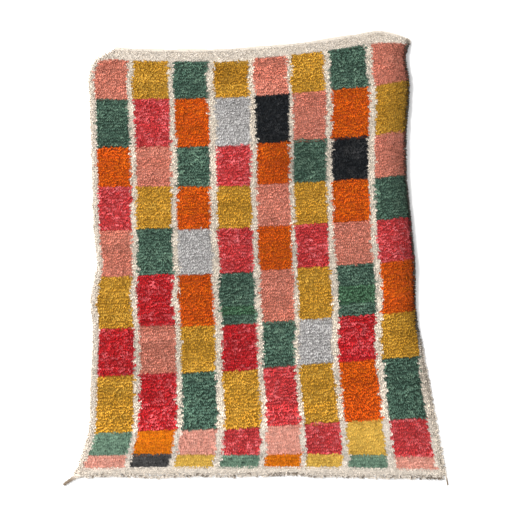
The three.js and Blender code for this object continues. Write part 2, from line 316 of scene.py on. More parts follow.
LOT_COLUMNS = ("column", "low", "high", "yarn")
LOTS = (
    (7, 0.795, 0.885, "emerald"),
    (4, 0.775, 0.820, "emerald"),
    (4, 1.985, 2.090, "ochre"),
)
WANDER_COLUMNS = ("along", "reach", "shift", "starts")
WANDERS = (
    (1.930, 0.250, -0.011, 0.0),
    (1.130, 0.260, -0.013, 0.0),
    (1.050, 0.120, -0.009, 0.0),
    (0.420, 0.300, 0.012, 0.0),
    (0.420, 0.340, -0.013, 0.50),
    (0.160, 0.200, -0.012, 0.72),
)
WANDER_BUILDS_OVER, WANDER_FADES_FROM = 0.12, 0.90
BLOCK_ROWS = (2.121, 1.908, 1.650, 1.445, 1.220, 0.982, 0.725, 0.486, 0.213, 0.104, 0.044)
PALE_ROWS, PALE_BELOW, LOW_DULLING, KNOT_PALE = 2, 0.213, 0.21, 0.82
CORNER_STARTS = 2.046
BORDER_LEAST, BORDER_FLARE, FLARE_ALONG, FLARE_REACH = 0.030, 0.016, 0.160, 0.045
BORDER_TUCKED_IN_ROLL = 0.045
# Painted shade on the tufts toward the edge that rolls over, darkest on its flap; and the stretch where
# the last column's pile covers the roll.
EDGE_SHADE, EDGE_SHADE_REACH, EDGE_SHADE_BEND = 0.50, 0.130, 1.5
FLAP_SHADE, FLAP_SHADE_STARTS, FLAP_SHADE_FULL = 0.80, 0.2, 0.5
COVER_STARTS, COVER_FULL = 0.46, 0.62
# Each yarn: its dye, its paler lot, the painted shade at its roots, how much single ends mottle toward the
# paler lot, and how pale it is in the last rows.
YARN_COLUMNS = ("dye", "pale_lot", "root_shade", "mottle", "low_paleness")
CREAM = ((0.80, 0.71, 0.600), (0.90, 0.81, 0.71), 0.80, 0.10, 0.85)
YARNS = {
    "border": CREAM,
    "stripes": CREAM,
    "pink": ((0.80, 0.277, 0.190), (0.94, 0.475, 0.375), 0.55, 0.15, 0.85),
    "mustard": ((0.71, 0.373, 0.038), (0.86, 0.57, 0.113), 0.50, 0.20, 0.85),
    "ochre": ((0.60, 0.295, 0.026), (0.70, 0.40, 0.06), 0.45, 0.20, 0.85),
    "green": ((0.100, 0.190, 0.138), (0.255, 0.405, 0.288), 0.32, 0.45, 0.85),
    "emerald": ((0.090, 0.212, 0.114), (0.19, 0.37, 0.22), 0.32, 0.40, 0.85),
    "orange": ((0.800, 0.122, 0.008), (0.92, 0.285, 0.0065), 0.50, 0.15, 0.85),
    "red": ((0.74, 0.062, 0.066), (0.90, 0.23, 0.245), 0.48, 0.60, 0.10),
    "crimson": ((0.665, 0.0225, 0.0285), (0.83, 0.180, 0.200), 0.48, 0.50, 0.10),
    "grey": ((0.575, 0.553, 0.54), (0.70, 0.69, 0.69), 0.60, 0.30, 0.85),
    "charcoal": ((0.0170, 0.0200, 0.0240), (0.110, 0.105, 0.103), 0.45, 0.22, 0.85),
}
yarn_lots = {column: np.array(values) for column, values in zip(YARN_COLUMNS, zip(*YARNS.values()))}
LOW_LEAN, LOW_CALM, LOW_WIDTH, LOW_HEIGHT = 0.95, 0.35, 1.05, 0.90
FADE, FADE_STARTS, FADE_FULL = 0.22, 0.42, 0.26
MOST_LOTS, TONE_LOT_ROWS, PALE_LOT_ROWS = 120, 3, 4
LOT_TONE_SPREAD, TONE_DRIFT, TUFT_TONE_SPREAD = 0.05, 0.06, 0.10
LOT_PALE, PALE_DRIFT, TUFT_PALE_SPREAD = 0.22, 0.6, 0.5
# Patches of uneven tone, and of painted light and shade over the folds and along the right edge.
PATCH_COLUMNS = ("across", "along", "wide", "long", "gain")
PATCHES = (
    (1.00, 2.01, 0.30, 0.12, 0.19),
    (0.62, 1.55, 0.18, 0.10, 0.17),
    (1.02, 1.55, 0.17, 0.12, -0.32),
    (1.53, 1.10, 0.12, 0.14, 0.20),
    (0.83, 1.00, 0.25, 0.25, -0.12),
    (1.11, 0.85, 0.10, 0.10, 0.18),
    (0.35, 0.60, 0.14, 0.14, -0.24),
    (0.73, 0.60, 0.09, 0.10, -0.22),
    (1.15, 0.58, 0.40, 0.14, 0.16),
    (0.52, 0.35, 0.09, 0.14, 0.22),
    (0.02, 0.10, 0.08, 0.16, 0.14),
    (1.66, 0.38, 0.045, 0.18, -0.28),
    (1.66, 2.02, 0.040, 0.09, -0.26),
)
# The painted root shade of the paler lots, how much they even out their ends, and how dark the knots show
# on the back of the ground.
PALE_ROOT_SHADE, PALE_EVENNESS, KNOT_BACK_SHADE = 0.9, 0.55, 0.85
KNOTS_SHOW_BELOW = 0.008
LEFT_BORDER, LEFT_BORDER_PALE, LEFT_BORDER_TONE = 0.060, 0.80, 0.97


def soft_noise(across, along, size, seed):
    """Smooth random values from -1 to 1 over the rug, with lumps of about a given size."""
    lattice = np.random.default_rng(seed).uniform(-1, 1, (NOISE_CELLS, NOISE_CELLS))
    u, v = across / size + NOISE_START, along / size + NOISE_START
    i, j = np.floor(u).astype(int), np.floor(v).astype(int)
    fu, fv = smooth(0, 1, u - i), smooth(0, 1, v - j)
    left, right = i % NOISE_CELLS, (i + 1) % NOISE_CELLS
    below, above = j % NOISE_CELLS, (j + 1) % NOISE_CELLS
    low = lattice[left, below] * (1 - fu) + lattice[right, below] * fu
    high = lattice[left, above] * (1 - fu) + lattice[right, above] * fu
    return low * (1 - fv) + high * fv


def hump(value, middle, reach):
    return np.exp(-((value - middle) / reach) ** 2)


def pattern_share(across, along):
    """Where a knot lies across the pattern, whose columns run straight past the slanting corner."""
    section = rug_section(along)
    left_at_corner = line_value("left", np.array([CORNER_STARTS]))
    cut_off = section["left"] - np.where(along > CORNER_STARTS, left_at_corner, section["left"])
    tucked = BORDER_TUCKED_IN_ROLL * section["angle"] / ROLL_ANGLE
    place = (across + cut_off) / (section["width"] + cut_off + tucked)
    share = place
    for wander in named_rows(WANDER_COLUMNS, WANDERS):
        bend = hump(along, wander["along"], wander["reach"])
        bend = bend * smooth(wander["starts"], wander["starts"] + WANDER_BUILDS_OVER, place)
        share = share - wander["shift"] / RUG_WIDTH * bend * (1 - smooth(WANDER_FADES_FROM, 1, place))
    return share


def column_raise(share):
    """How much higher than the rug's lines those of the nearest column lie."""
    left, right, raised = np.array([row[:3] for row in BLOCK_COLUMNS]).T
    return raised[np.searchsorted((left[1:] + right[:-1]) / 2, share)]


def knot_grid():
    """Places of the knots: share of the width, distance along, and number of the knot row.

    The rows lie evenly between the lines of the pattern, so that a block ends on a whole row.
    """
    count = int(RUG_WIDTH / KNOT_PITCH)
    fine = np.linspace(0, RUG_LENGTH, FINE_STEPS)
    fine_section = rug_section(fine)
    pattern_lines = np.array(BLOCK_ROWS[::-1])
    line_widths = rug_section(pattern_lines)["width"]
    shares, alongs, numbers = [], [], []
    for i in range(count):
        share = (i + 0.5) / count
        level = fine + rise_at(fine_section, share)
        raised = column_raise(pattern_share(share * line_widths, pattern_lines))
        line_levels = np.interp(pattern_lines + raised, fine, level)
        for low, high in zip(line_levels, line_levels[1:]):
            rows = round((high - low) / ROW_PITCH)
            wanted = low + (np.arange(rows) + 0.5) / rows * (high - low)
            alongs.append(np.interp(wanted, level, fine))
            numbers.append((wanted / ROW_PITCH).astype(int))
            shares.append(np.full(rows, share))
    return np.concatenate(shares), np.concatenate(alongs), np.concatenate(numbers)


def yarn_at(across, along, row_number):
    """The yarn of each knot, as a place in the list of yarns, and the block it belongs to."""
    draw = np.random.default_rng(YARN_SEED)
    names = list(YARNS)
    share = pattern_share(across, along)
    inner = (share > BLOCK_COLUMNS[0][0]) & (share < BLOCK_COLUMNS[-1][1])
    inner &= (along < BLOCK_ROWS[0]) & (along > BLOCK_ROWS[-1])
    yarn = np.where(inner, names.index("stripes"), names.index("border"))
    block = np.zeros(len(share), dtype=int)
    covered = smooth(COVER_STARTS, COVER_FULL, along)
    border = BORDER_LEAST + BORDER_FLARE * hump(along, FLARE_ALONG, FLARE_REACH)
    for c, column in enumerate(named_rows(COLUMN_COLUMNS, BLOCK_COLUMNS)):
        last = c == len(BLOCK_COLUMNS) - 1
        right = column["right"] + (LAST_COLUMN_OVER_ROLL * covered if last else 0)
        ragged = draw.normal(0, RAGGED_EDGE, (2, MOST_KNOT_ROWS)) / RUG_WIDTH
        in_column = share - column["left"] + ragged[0, row_number] > 0
        in_column &= right - share + ragged[1, row_number] > 0
        in_column &= across > border
        lines_here = np.array(BLOCK_ROWS) + column["raised"]
        for r, name in enumerate(column["yarns"].split()):
            chosen = in_column & (along < lines_here[r]) & (along >= lines_here[r + 1])
            yarn[chosen] = names.index(name)
            block[chosen] = 1 + c * len(BLOCK_ROWS) + r
        for lot in named_rows(LOT_COLUMNS, LOTS):
            if lot["column"] == c + 1:
                chosen = in_column & (along > lot["low"]) & (along < lot["high"])
                yarn[chosen] = names.index(lot["yarn"])
    return yarn, block


def painted_roll_shade(across, along):
    """Painted shade: how much the tufts are darkened toward the edge that rolls over, and more on its
    flap, as shade falls there.
    """
    section = rug_section(along)
    from_crest = np.clip(section["width"] - across - section["turned"], 0, None)
    near = np.clip(1 - from_crest / EDGE_SHADE_REACH, 0, 1) ** EDGE_SHADE_BEND
    opened = smooth(BLOCK_ROWS[0], RUG_LENGTH - ROLL_FLAP, along)
    rolled = smooth(ROLL_STARTS, ROLL_FULL, along) * (1 - opened)
    past_crest = 1 - (section["width"] - across) / section["turned"]
    on_flap = smooth(FLAP_SHADE_STARTS, FLAP_SHADE_FULL, past_crest)
    covered = smooth(COVER_STARTS, COVER_FULL, along) * (1 - opened)
    return (1 - EDGE_SHADE * near * rolled) * (1 - FLAP_SHADE * on_flap * covered)


def patch_tone_and_painted_shade(across, along):
    """Lighter and darker patches: uneven tone in some, painted light and shade in others, over the folds
    and along the right edge.
    """
    shade = np.ones_like(across)
    for patch in named_rows(PATCH_COLUMNS, PATCHES):
        near = hump(across, patch["across"], patch["wide"]) * hump(along, patch["along"], patch["long"])
        shade += patch["gain"] * near
    return shade


def in_low_rows(along, block):
    """Whether a knot lies in the last block rows, whose pile is paler and lies smooth."""
    row = (block - 1) % len(BLOCK_ROWS)
    return np.where(block > 0, row >= len(BLOCK_ROWS) - 1 - PALE_ROWS, along < PALE_BELOW)


def yarn_tone(across, along, block, yarn, row_number):
    """How light each tuft is: uneven dye lots, patches of tone and of painted light and shade, painted
    shade along the rolled edge, and single pale or dark ends.
    """
    draw = np.random.default_rng(TONE_SEED)
    lots = draw.normal(0, LOT_TONE_SPREAD, (MOST_LOTS, MOST_LOTS))
    tone = 1 + lots[block, row_number // TONE_LOT_ROWS]
    tone = tone + TONE_DRIFT * soft_noise(across, along, *TONE_LUMPS)
    tone = tone + draw.normal(0, TUFT_TONE_SPREAD, len(along))
    # Painted shade along the rolled edge, and painted light and shade in some of the patches.
    tone = tone * painted_roll_shade(across, along) * patch_tone_and_painted_shade(across, along)
    faded = 1 + FADE * (1 - smooth(FADE_FULL, FADE_STARTS, along))
    dulled = 1 - LOW_DULLING * yarn_lots["low_paleness"][yarn]
    return tone * np.where(in_low_rows(along, block), dulled, faded)


def pale_share(across, along, block, yarn, row_number):
    """How much of its paler lot each tuft has: most in the last rows, some in patches and single ends."""
    draw = np.random.default_rng(PALE_SEED)
    lots = draw.uniform(0, LOT_PALE, (MOST_LOTS, MOST_LOTS))
    low = yarn_lots["low_paleness"][yarn]
    patches = PALE_DRIFT * soft_noise(across, along, *PALE_LUMPS)
    patches = patches + draw.normal(0, TUFT_PALE_SPREAD, len(along))
    share = np.where(in_low_rows(along, block), low, lots[block, row_number // PALE_LOT_ROWS])
    return np.clip(share + yarn_lots["mottle"][yarn] * patches, 0, 1)


def tuft_mesh():
    """One tuft of unit width and height, a fan of tapered yarn ends, and a flat layout of its faces."""
    points, faces, layout, tones = [], [], [], []
    for e, yarn_end in enumerate(named_rows(END_COLUMNS, TUFT_ENDS)):
        first = len(points)
        for height, radius in (*END_RINGS, END_TIP):
            x = yarn_end["root_across"] + (yarn_end["tip_across"] - yarn_end["root_across"]) * height
            y = yarn_end["root_along"] + (yarn_end["tip_along"] - yarn_end["root_along"]) * height
            for k in range(END_SIDES if radius else 1):
                side = 2 * math.pi * (k / END_SIDES + e / len(TUFT_ENDS))
                points.append((x + radius * math.cos(side), y + radius * math.sin(side),
                               height * yarn_end["length"]))
        tones += [yarn_end["tone"]] * (len(points) - first)
        tip = first + END_SIDES * len(END_RINGS)
        left, step = e / len(TUFT_ENDS), LAYOUT_WIDTH / (len(TUFT_ENDS) * END_SIDES)
        faces.append([first + k for k in reversed(range(END_SIDES))])
        layout += [(left + k * step, LAYOUT_ROOT * (k % 2)) for k in range(END_SIDES)]
        for k in range(END_SIDES):
            after = (k + 1) % END_SIDES
            at, to = left + k * step, left + (k + 1) * step
            faces.append([first + k, first + after, first + END_SIDES + after, first + END_SIDES + k])
            layout += [(at, LAYOUT_FOOT), (to, LAYOUT_FOOT), (to, LAYOUT_BEND), (at, LAYOUT_BEND)]
            faces.append([first + END_SIDES + k, first + END_SIDES + after, tip])
            layout += [(at, LAYOUT_BEND), (to, LAYOUT_BEND), ((at + to) / 2, LAYOUT_TIP)]
    mesh = bpy.data.meshes.new("tuft")
    mesh.from_pydata(points, [], faces)
    for label, values in (("height", [p[2] for p in points]), ("end", tones)):
        mesh.attributes.new(label, "FLOAT", "POINT").data.foreach_set("value", values)
    return mesh, np.array(layout)


def pile_tree():
    """Geometry nodes that set a tuft on each knot, ruffle the tufts and rest them on the floor."""
    tree = bpy.data.node_groups.new("knotted pile", "GeometryNodeTree")
    sockets = {}
    for label, kind in (("Knots", "Geometry"), ("Tuft", "Object"), ("Ruffle", "Float"),
                        ("Ruffle scale", "Float"), ("Floor", "Float"), ("Yarn", "Material")):
        sockets[label] = tree.interface.new_socket(label, in_out="INPUT",
                                                   socket_type="NodeSocket" + kind)
    tree.interface.new_socket("Pile", in_out="OUTPUT", socket_type="NodeSocketGeometry")
    given = add_node(tree, "NodeGroupInput").outputs

    def attribute(name, data_type):
        node = add_node(tree, "GeometryNodeInputNamedAttribute", {"Name": name}, data_type=data_type)
        return node.outputs["Attribute"]

    lean = add_node(tree, "FunctionNodeEulerToRotation", {"Euler": attribute("lean", "FLOAT_VECTOR")})
    spin = add_node(tree, "FunctionNodeAxisAngleToRotation",
                    {"Axis": (0, 0, 1), "Angle": attribute("spin", "FLOAT")})
    turned = add_node(tree, "FunctionNodeRotateRotation",
                      {"Rotation": lean.outputs["Rotation"], "Rotate By": spin.outputs["Rotation"]},
                      rotation_space="LOCAL")
    tuft = add_node(tree, "GeometryNodeObjectInfo", {"Object": given["Tuft"]})
    tufts = add_node(tree, "GeometryNodeInstanceOnPoints",
                     {"Points": given["Knots"], "Instance": tuft.outputs["Geometry"],
                      "Rotation": turned.outputs["Rotation"], "Scale": attribute("size", "FLOAT_VECTOR")})
    real = add_node(tree, "GeometryNodeRealizeInstances", {"Geometry": tufts.outputs["Instances"]})
    position = add_node(tree, "GeometryNodeInputPosition").outputs["Position"]
    noise = add_node(tree, "ShaderNodeTexNoise",
                     {"Vector": position, "Scale": given["Ruffle scale"], "Detail": 1.0})
    centred = add_node(tree, "ShaderNodeVectorMath",
                       {0: noise.outputs["Color"], 1: (0.5, 0.5, 0.5)}, operation="SUBTRACT")
    amount = product(tree, attribute("height", "FLOAT"), given["Ruffle"])
    ruffled = add_node(tree, "ShaderNodeVectorMath",
                       {0: centred.outputs["Vector"], "Scale": amount}, operation="SCALE")
    moved = add_node(tree, "ShaderNodeVectorMath", {0: position, 1: ruffled.outputs["Vector"]})
    parts = add_node(tree, "ShaderNodeSeparateXYZ", {"Vector": moved.outputs["Vector"]}).outputs
    above = add_node(tree, "ShaderNodeMath", {0: parts["Z"], 1: given["Floor"]}, operation="MAXIMUM")
    rested = add_node(tree, "ShaderNodeCombineXYZ",
                      {"X": parts["X"], "Y": parts["Y"], "Z": above.outputs[0]})
    placed = add_node(tree, "GeometryNodeSetPosition",
                      {"Geometry": real.outputs["Geometry"], "Position": rested.outputs["Vector"]})
    dyed = add_node(tree, "GeometryNodeSetMaterial",
                    {"Geometry": placed.outputs["Geometry"], "Material": given["Yarn"]})
    add_node(tree, "NodeGroupOutput", {"Pile": dyed.outputs["Geometry"]})
    return tree, {label: socket.identifier for label, socket in sockets.items()}


def wool_group():
    """Shader group for wool yarn: two dye lots, painted shade toward the roots, uneven tone and short
    crossing fibres.
    """
    group = bpy.data.node_groups.new("wool yarn", "ShaderNodeTree")
    for label, kind in (("Dye", "Color"), ("Pale lot", "Color"), ("Pale", "Float"), ("Tone", "Float"),
                        ("End", "Float"), ("Height", "Float"), ("Root shade", "Float")):
        group.interface.new_socket(label, in_out="INPUT", socket_type="NodeSocket" + kind)
    group.interface.new_socket("Color", in_out="OUTPUT", socket_type="NodeSocketColor")
    group.interface.new_socket("Fibres", in_out="OUTPUT", socket_type="NodeSocketFloat")
    given = add_node(group, "NodeGroupInput").outputs
    spot = add_node(group, "ShaderNodeTexCoord").outputs["Object"]
    fibre = add_node(group, "ShaderNodeTexNoise",
                     {"Vector": spot, "Scale": 330, "Detail": 3, "Roughness": 0.65}).outputs["Fac"]
    dye = add_node(group, "ShaderNodeMix",
                   {"Factor": given["Pale"], "A": given["Dye"], "B": given["Pale lot"]}, data_type="RGBA")
    # Painted shade: the yarn darkens toward its roots, deep in the pile, less in the paler lots.
    roots = add_node(group, "ShaderNodeMix",
                     {"Factor": given["Pale"], "A": given["Root shade"], "B": PALE_ROOT_SHADE})
    depth = add_node(group, "ShaderNodeMapRange",
                     {"Value": given["Height"], "From Min": 0.1, "From Max": 0.9,
                      "To Min": roots.outputs["Result"]}, interpolation_type="SMOOTHSTEP")
    speckle = add_node(group, "ShaderNodeMapRange",
                       {"Value": fibre, "From Min": 0.3, "From Max": 0.7, "To Min": 0.72, "To Max": 1.24})
    ends = add_node(group, "ShaderNodeMix",
                    {"Factor": product(group, given["Pale"], PALE_EVENNESS), "A": given["End"], "B": 1.0})
    toned = product(group, given["Tone"], ends.outputs["Result"])
    shade = product(group, depth.outputs["Result"], toned)
    whole = product(group, shade, speckle.outputs["Result"])
    tinted = add_node(group, "ShaderNodeVectorMath",
                      {0: dye.outputs["Result"], "Scale": whole}, operation="SCALE")
    add_node(group, "NodeGroupOutput", {"Color": tinted.outputs["Vector"], "Fibres": fibre})
    return group


wool = wool_group()


def yarn_material(name, row):
    material, tree, shader = new_material(name, roughness=0.95, sheen=0.02)
    lots = dict(zip(YARN_COLUMNS, row))
    inputs = {"Dye": (*lots["dye"], 1), "Pale lot": (*lots["pale_lot"], 1)}
    inputs["Root shade"] = lots["root_shade"]
    for label in ("Tone", "Pale", "End", "Height"):
        kept_on_mesh = add_node(tree, "ShaderNodeAttribute", attribute_name=label.lower())
        inputs[label] = kept_on_mesh.outputs["Fac"]
    yarn = add_node(tree, "ShaderNodeGroup", inputs, node_tree=wool)
    relief = add_node(tree, "ShaderNodeBump",
                      {"Distance": 0.0015, "Strength": 0.6, "Height": yarn.outputs["Fibres"]})
    fill(tree, shader, {"Base Color": yarn.outputs["Color"], "Normal": relief.outputs["Normal"]})
    return material


tuft_shape, tuft_layout = tuft_mesh()
tuft = new_piece("tuft", tuft_shape)
pile_nodes, pile_inputs = pile_tree()


def knotted(name, points, lean, spin, size, tone, pale, material, ruffle=PILE_RUFFLE):
    """A piece of pile: one tuft on each knot, made a plain mesh with a cell of its map for each tuft."""
    mesh = bpy.data.meshes.new(name)
    mesh.vertices.add(len(points))
    mesh.vertices.foreach_set("co", points.ravel())
    for label, values in (("lean", lean), ("size", size)):
        mesh.attributes.new(label, "FLOAT_VECTOR", "POINT").data.foreach_set("vector", values.ravel())
    for label, values in (("spin", spin), ("tone", tone), ("pale", pale)):
        mesh.attributes.new(label, "FLOAT", "POINT").data.foreach_set("value", values)
    piece = new_piece(name, mesh)
    modifier = piece.modifiers.new("pile", "NODES")
    modifier.node_group = pile_nodes
    for label, value in (("Tuft", tuft), ("Ruffle", ruffle), ("Ruffle scale", PILE_RUFFLE_SCALE),
                         ("Floor", FLOOR_CLEARANCE), ("Yarn", material)):
        modifier[pile_inputs[label]] = value
    graph = bpy.context.evaluated_depsgraph_get()
    plain = bpy.data.meshes.new_from_object(piece.evaluated_get(graph), preserve_all_data_layers=True,
                                            depsgraph=graph)
    piece.modifiers.clear()
    piece.data = plain
    cells = math.ceil(math.sqrt(len(points)))
    number = np.arange(len(points))
    cell = np.stack([number % cells, number // cells], axis=-1)
    layout = (tuft_layout[None] * CELL_WIDTH + CELL_MARGIN + cell[:, None]) / cells
    plain.uv_layers.new(name="OFBake").data.foreach_set("uv", layout.ravel())
    plain.shade_smooth()
    return piece


def tuft_sizes(draw, count, width, height):
    across = width * draw.uniform(*WIDTH_SPREAD, count)
    return np.stack([across, across, height * draw.uniform(*HEIGHT_SPREAD, count)], axis=-1)


knot_share, pile_along, pile_row = knot_grid()
draw = np.random.default_rng(PLACE_SEED)
pile_width = rug_section(pile_along)["width"]
pile_across = knot_share * pile_width
inside = (pile_across > PILE_INSET) & (pile_across < pile_width - PILE_INSET)
pile_across, pile_along, pile_row = pile_across[inside], pile_along[inside], pile_row[inside]
pile_count = len(pile_along)
pile_yarn, pile_block = yarn_at(pile_across, pile_along, pile_row)
pile_tone = yarn_tone(pile_across, pile_along, pile_block, pile_yarn, pile_row)
pile_pale = pale_share(pile_across, pile_along, pile_block, pile_yarn, pile_row)
left_border = (pile_yarn == list(YARNS).index("border")) & (pile_across < LEFT_BORDER)
pile_pale = np.where(left_border, LEFT_BORDER_PALE, pile_pale)
pile_tone = np.where(left_border, LEFT_BORDER_TONE, pile_tone)
pile_across = pile_across + draw.normal(0, KNOT_PITCH * KNOT_JITTER, pile_count)
pile_along = pile_along + draw.normal(0, ROW_PITCH * KNOT_JITTER, pile_count)
pile_points, pile_slope = lay(pile_across, pile_along, np.full(pile_count, KNOT_LEVEL))
lean_down = PILE_LEAN + PILE_LEAN_SPREAD * soft_noise(pile_across, pile_along, *LEAN_LUMPS)
lean_down += draw.normal(0, TUFT_LEAN_SPREAD, pile_count)
lean_side = PILE_SIDE_SPREAD * soft_noise(pile_across, pile_along, *SIDE_LEAN_LUMPS)
lean_side += draw.normal(0, TUFT_SIDE_SPREAD, pile_count)
smooth_pile = in_low_rows(pile_along, pile_block) | left_border
lean_down = np.where(smooth_pile, LOW_LEAN + LOW_CALM * (lean_down - PILE_LEAN), lean_down)
lean_side = np.where(smooth_pile, LOW_CALM * lean_side, lean_side)
pile_lean = np.stack([lean_down, pile_slope + lean_side, np.zeros(pile_count)], axis=-1)
pile_spin = draw.normal(0, PILE_SPIN, pile_count)
pile_size = tuft_sizes(draw, pile_count, TUFT_WIDTH, TUFT_HEIGHT)
even_size = np.array((TUFT_WIDTH, TUFT_WIDTH, TUFT_HEIGHT))
low_size = even_size + LOW_CALM * (pile_size - even_size)
pile_size = np.where(smooth_pile[:, None], low_size * (LOW_WIDTH, LOW_WIDTH, LOW_HEIGHT), pile_size)
pile_knots = (pile_points, pile_lean, pile_spin, pile_size, pile_tone, pile_pale)
pile_pieces = []
for number, (name, lots) in enumerate(YARNS.items()):
    tied = [values[pile_yarn == number] for values in pile_knots]
    pile_pieces.append(knotted("pile_" + name, *tied, yarn_material(name + " yarn", lots)))

# The ground weave takes the colours of the knots tied round it, with painted shade where it shows between
# the tufts, and darker on its back.
ground_across, ground_along = across_grid.ravel(), along_grid.ravel()
ground_row = (ground_along / ROW_PITCH).astype(int)
ground_yarn, ground_block = yarn_at(ground_across, ground_along + KNOTS_SHOW_BELOW, ground_row)
ground_low = in_low_rows(ground_along, ground_block)
ground_lots = {column: values[ground_yarn] for column, values in yarn_lots.items()}
pale = np.where(ground_low, KNOT_PALE * ground_lots["low_paleness"], 0)[:, None]
dyes = ground_lots["dye"] * (1 - pale) + ground_lots["pale_lot"] * pale
root_shade = ground_lots["root_shade"][:, None] * (1 - pale) + PALE_ROOT_SHADE * pale
knot_colours = np.ones((2 * len(dyes), 4))
knot_colours[:, :3] = np.concatenate([dyes * root_shade, dyes * KNOT_BACK_SHADE])
knots = ground.data.attributes.new("knots", "FLOAT_COLOR", "POINT")
knots.data.foreach_set("color", knot_colours.ravel())

# Cream bands
# Rows of finer cream knots past the first and the last blocks, cut shorter than the rest of the pile.
# They run from one side of the rug to the other.
BAND_CREAM = ((0.80, 0.725, 0.640), (0.90, 0.81, 0.71), 0.80, 0.10, 0.85)
BAND_PITCH, BAND_INSET, BAND_JITTER = 0.0092, 0.018, 0.2
BAND_WIDTH, BAND_HEIGHT, BAND_RUFFLE = 0.0100, 0.0130, 0.006
BAND_LEAN_SPREAD, BAND_SIDE_SPREAD, BAND_TONE_SPREAD = 0.2, 0.3, 0.08
BAND_LUMPS = (0.045, 33)
BAND_COLUMNS = ("piece", "low", "high", "pale", "tone", "seed")
BANDS = (
    ("upper_band", BLOCK_ROWS[0] + 0.008, RUG_LENGTH - HEM_WIDTH + 0.004, 0.1, 1.00, 71),
    ("lower_band", 0.014, BLOCK_ROWS[-1] + 0.002, 0.9, 0.90, 72),
)


def band_of_pile(band):
    """A band of tufts on even rows, laid like the rest of the pile."""
    draw = np.random.default_rng(band["seed"])
    across, along = [], []
    for row in np.arange(band["low"], band["high"], BAND_PITCH):
        width = float(rug_section(np.array([row]))["width"][0])
        across.append(np.arange(BAND_INSET, width - BAND_INSET, BAND_PITCH))
        along.append(np.full(len(across[-1]), row))
    count = sum(len(row) for row in across)
    across = np.concatenate(across) + draw.normal(0, BAND_PITCH * BAND_JITTER, count)
    along = np.concatenate(along) + draw.normal(0, BAND_PITCH * BAND_JITTER, count)
    points, slope = lay(across, along, np.full(count, KNOT_LEVEL))
    down = PILE_LEAN + PILE_LEAN_SPREAD * soft_noise(across, along, *BAND_LUMPS)
    down += draw.normal(0, BAND_LEAN_SPREAD, count)
    sideways = slope + draw.normal(0, BAND_SIDE_SPREAD, count)
    spin = draw.normal(0, PILE_SPIN, count)
    size = tuft_sizes(draw, count, BAND_WIDTH, BAND_HEIGHT)
    tone = band["tone"] + draw.normal(0, BAND_TONE_SPREAD, count)
    return knotted(band["piece"], points, np.stack([down, sideways, np.zeros(count)], axis=-1), spin, size,
                   tone, np.full(count, band["pale"]), band_wool, ruffle=BAND_RUFFLE)


band_wool = yarn_material("band yarn", BAND_CREAM)
for band in named_rows(BAND_COLUMNS, BANDS):
    pile_pieces.append(band_of_pile(band))
for piece in pile_pieces:
    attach(piece, "root")
    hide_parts("rug_pile")

# Hem
# The flat-woven band at the upper end: plain weft ribs beaten down tight over the warps, a little
# thicker than the ground weave, with no knots.
HEM_THICKNESS, HEM_RIBS, HEM_RIB_STEPS, HEM_COLUMNS, HEM_INSET = 0.0080, 2, 4, 160, 0.010
HEM_OVERLAP, HEM_TRIM, HEM_GROOVE = 0.006, 0.001, 0.62
HEM_WANDER, HEM_WANDER_LUMPS = 0.0035, (0.05, 41)
HEM_UNEVEN, HEM_LUMPS = 0.12, (0.02, 42)
hem_starts, hem_ends = RUG_LENGTH - HEM_WIDTH - HEM_OVERLAP, RUG_LENGTH - HEM_TRIM
hem_rows = np.linspace(hem_starts, hem_ends, HEM_RIBS * HEM_RIB_STEPS + 1)
hem_along = np.repeat(hem_rows[:, None], HEM_COLUMNS + 1, axis=1)
hem_width = rug_section(hem_along)["width"] - 2 * HEM_INSET
hem_across = HEM_INSET + np.linspace(0, 1, HEM_COLUMNS + 1) * hem_width
hem_wander = HEM_WANDER * soft_noise(hem_across, np.zeros_like(hem_along), *HEM_WANDER_LUMPS)
hem_wander = hem_wander * smooth(RUG_LENGTH - HEM_WIDTH, RUG_LENGTH, hem_along)
rib = np.abs(np.sin(np.linspace(0, HEM_RIBS * math.pi, len(hem_rows))))[:, None]
hem_height = HEM_THICKNESS * (HEM_GROOVE + (1 - HEM_GROOVE) * rib)
hem_height = hem_height * (1 + HEM_UNEVEN * soft_noise(hem_across, hem_along, *HEM_LUMPS))
hem_top, _ = lay(hem_across, hem_along + hem_wander, hem_height)
hem_under, _ = lay(hem_across, hem_along + hem_wander, np.zeros_like(hem_height))
hem_wool = ribbed_wool("hem wool", light=(0.66, 0.60, 0.52), dark=(0.42, 0.37, 0.31),
                       rib_pitch=0.0055, warp_pitch=0.007, bump=0.0012)
hem = closed_sheet("upper_hem", hem_top, hem_under,
                   np.stack([hem_across, hem_along], axis=-1), hem_wool)
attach(hem, "root")
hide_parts("rug_pile")

# Side pile
# Cream tufts tied to the last warps of each side, that hang out over the selvedge and down to the
# floor. Those of the left side lie smooth, and the pile of the last column covers some on the right.
SIDE_PITCH, SIDE_WIDTH, SIDE_HEIGHT, SIDE_RUFFLE = 0.0105, 0.0125, 0.0165, 0.006
SIDE_STARTS, SIDE_LEVEL, SIDE_JITTER_ALONG, SIDE_JITTER_ACROSS = 0.024, 0.004, 0.0018, 0.0015
SIDE_LEAN, SIDE_LEAN_DRIFT, SIDE_LEAN_SPREAD, SIDE_OUT_SPREAD = 0.35, 0.25, 0.14, 0.18
SIDE_LUMPS, SIDE_SEED = (0.03, 51), 15
SIDE_TONE, SIDE_UNEVEN = 0.93, 0.15
ROW_COLUMNS = ("inset", "outward")
SIDE_ROWS = ((0.0255, 0.02), (0.0185, 0.30), (0.0115, 0.80))
SIDE_COLUMNS = ("side", "piece", "node", "calm", "tuck", "pale")
SIDES = (
    (-1, "left_side_pile", "left_side_locks", 0.35, 0.000, LEFT_BORDER_PALE),
    (1, "right_side_pile", "right_side_locks", 1.00, 0.006, 0.0),
)
side_alongs = np.arange(SIDE_STARTS, RUG_LENGTH - HEM_WIDTH, SIDE_PITCH)
side_wool = yarn_material("side yarn", CREAM)
